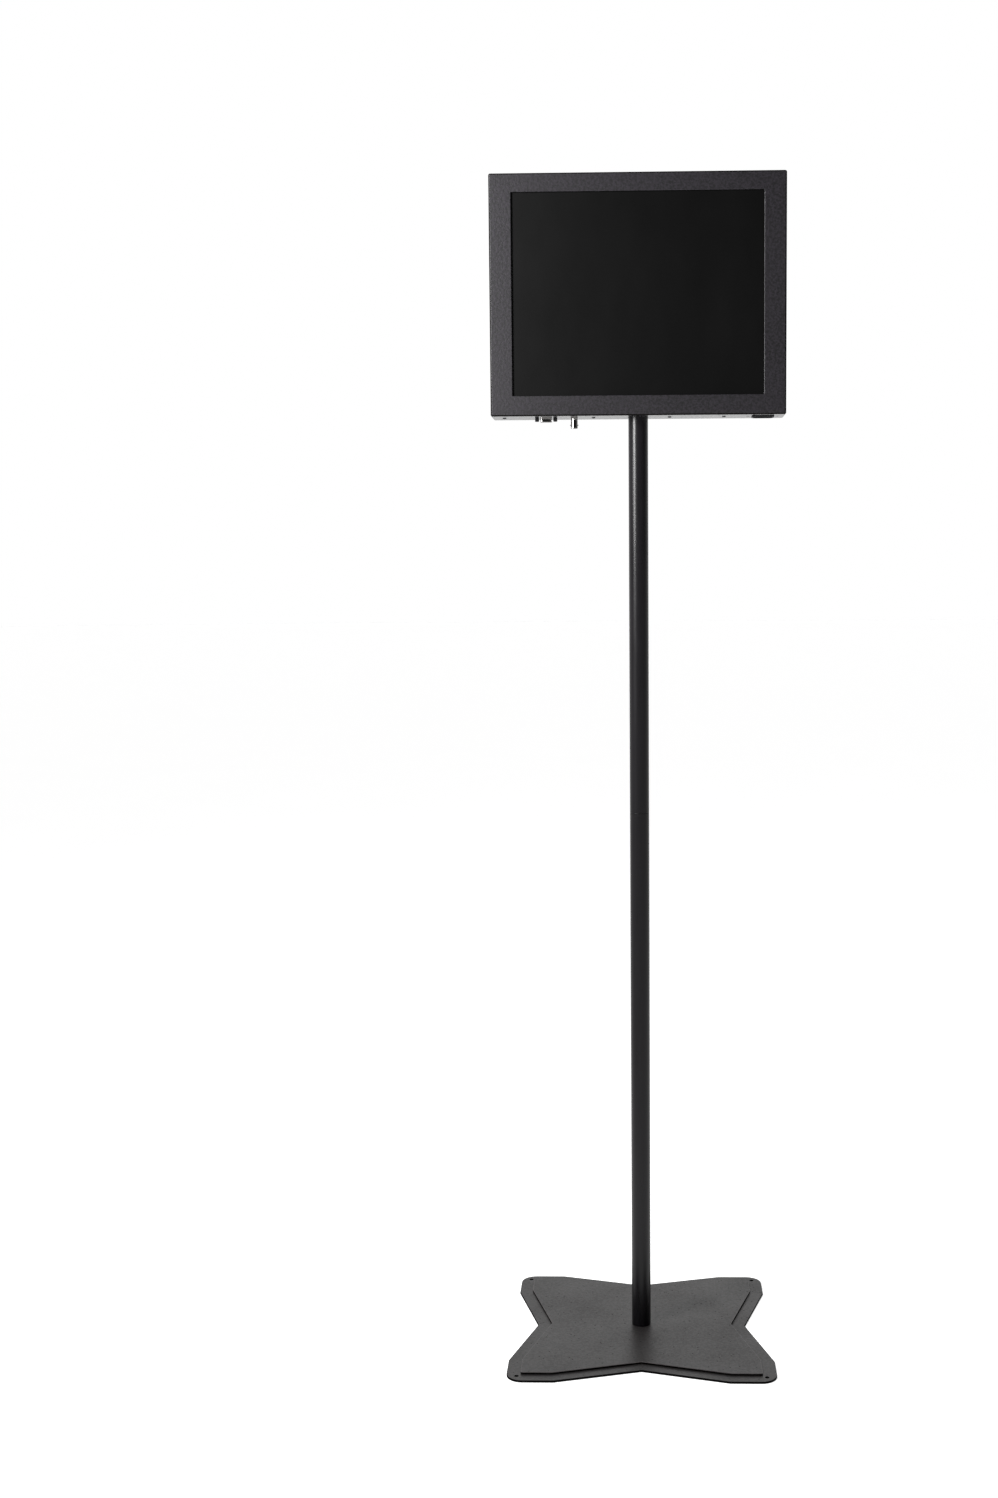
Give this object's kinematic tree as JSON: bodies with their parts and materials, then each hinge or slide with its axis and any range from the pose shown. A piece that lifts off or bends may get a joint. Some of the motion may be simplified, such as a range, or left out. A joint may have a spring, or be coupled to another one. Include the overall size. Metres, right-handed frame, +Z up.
{
  "type": "touchscreen kiosk",
  "caption": "Free-standing touchscreen kiosk: a flat steel screen head turning on a slim plug-together pole over a star-shaped floor plate.",
  "frame": {"origin": "on the pole's axis at the underside of the floor plate", "axes": "+Z up along the pole, -Y the way the screen faces, +X to the right of someone standing in front"},
  "size_m": [0.4, 0.364, 1.611],
  "materials": {
    "powder_coat": "fine-textured satin black powder coat",
    "bright_steel": "turned, bare",
    "zinc_sheet": "zinc-plated sheet",
    "zinc_screw": "zinc plated",
    "black_screw": "black oxide",
    "black_plastic": "moulded, fine grain",
    "gasket_rubber": "closed-cell foam",
    "touch_glass": "etched, low glare",
    "screen_face": "dark, switched off",
    "white_nylon": "natural",
    "circuit_board": "solder mask",
    "raw_aluminium": "anodised",
    "brass_part": "turned",
    "nickel_plate": "bright nickel plate",
    "cable_jacket": "matt PVC jacket"
  },
  "bodies": {
    "base": {"base_plate": "powder_coat", "base_top_plate": "powder_coat", "foot_spigot": "bright_steel", "foot_bolt": "zinc_screw"},
    "lower_section": {"lower_tube": "powder_coat", "joint_spigot": "bright_steel", "foot_grub_screw": "black_screw", "spigot_grub_screws": "black_screw"},
    "upper_section": {"upper_tube": "powder_coat", "joint_grub_screw": "black_screw", "tube_plug": "black_plastic"},
    "head": {"front_casing": "powder_coat", "rear_cover": "powder_coat", "cover_screws": "black_screw", "access_plugs": "black_plastic", "glass_gasket": "gasket_rubber", "touch_glass": "touch_glass", "glass_spacer": "gasket_rubber", "screen_cell": "screen_face", "screen_frame": "raw_aluminium", "casing_pillars": "zinc_screw", "screen_bracket_left": "zinc_sheet", "screen_bracket_right": "zinc_sheet", "bracket_screws": "zinc_screw", "equipment_tray_left": "zinc_sheet", "equipment_tray_right": "zinc_sheet", "tray_screws": "black_screw", "pole_socket": "bright_steel", "socket_liner": "white_nylon", "thrust_pad": "white_nylon", "clamp_screws": "black_screw", "computer_board": "circuit_board", "power_supply": "circuit_board", "display_driver": "circuit_board", "touch_controller": "circuit_board", "heat_sink": "raw_aluminium", "storage_drive": "raw_aluminium", "board_standoffs": "brass_part", "board_screws": "zinc_screw", "power_inlet": "black_plastic", "inlet_pins": "nickel_plate", "inlet_screws": "black_screw", "service_port_shell": "nickel_plate", "service_port_insert": "black_plastic", "jack_screws": "black_screw", "antenna_jack": "nickel_plate", "antenna_insulator": "white_nylon", "antenna_contact": "brass_part", "port_board": "circuit_board", "mains_lead": "cable_jacket", "supply_lead": "cable_jacket", "display_lead": "cable_jacket", "touch_lead": "cable_jacket", "service_lead": "cable_jacket", "antenna_lead": "cable_jacket"}
  },
  "joints": [
    {"name": "lower_section_lift", "type": "slide", "parent": "base", "child": "lower_section", "axis": [0, 0, 1], "range_m": [0, 0.11]},
    {"name": "upper_section_lift", "type": "slide", "parent": "lower_section", "child": "upper_section", "axis": [0, 0, 1], "range_m": [0, 0.1]},
    {"name": "head_swivel", "type": "hinge", "parent": "upper_section", "child": "head", "pos_m": [0, 0, 1.4], "axis": [0, 0, 1], "continuous": true}
  ]
}
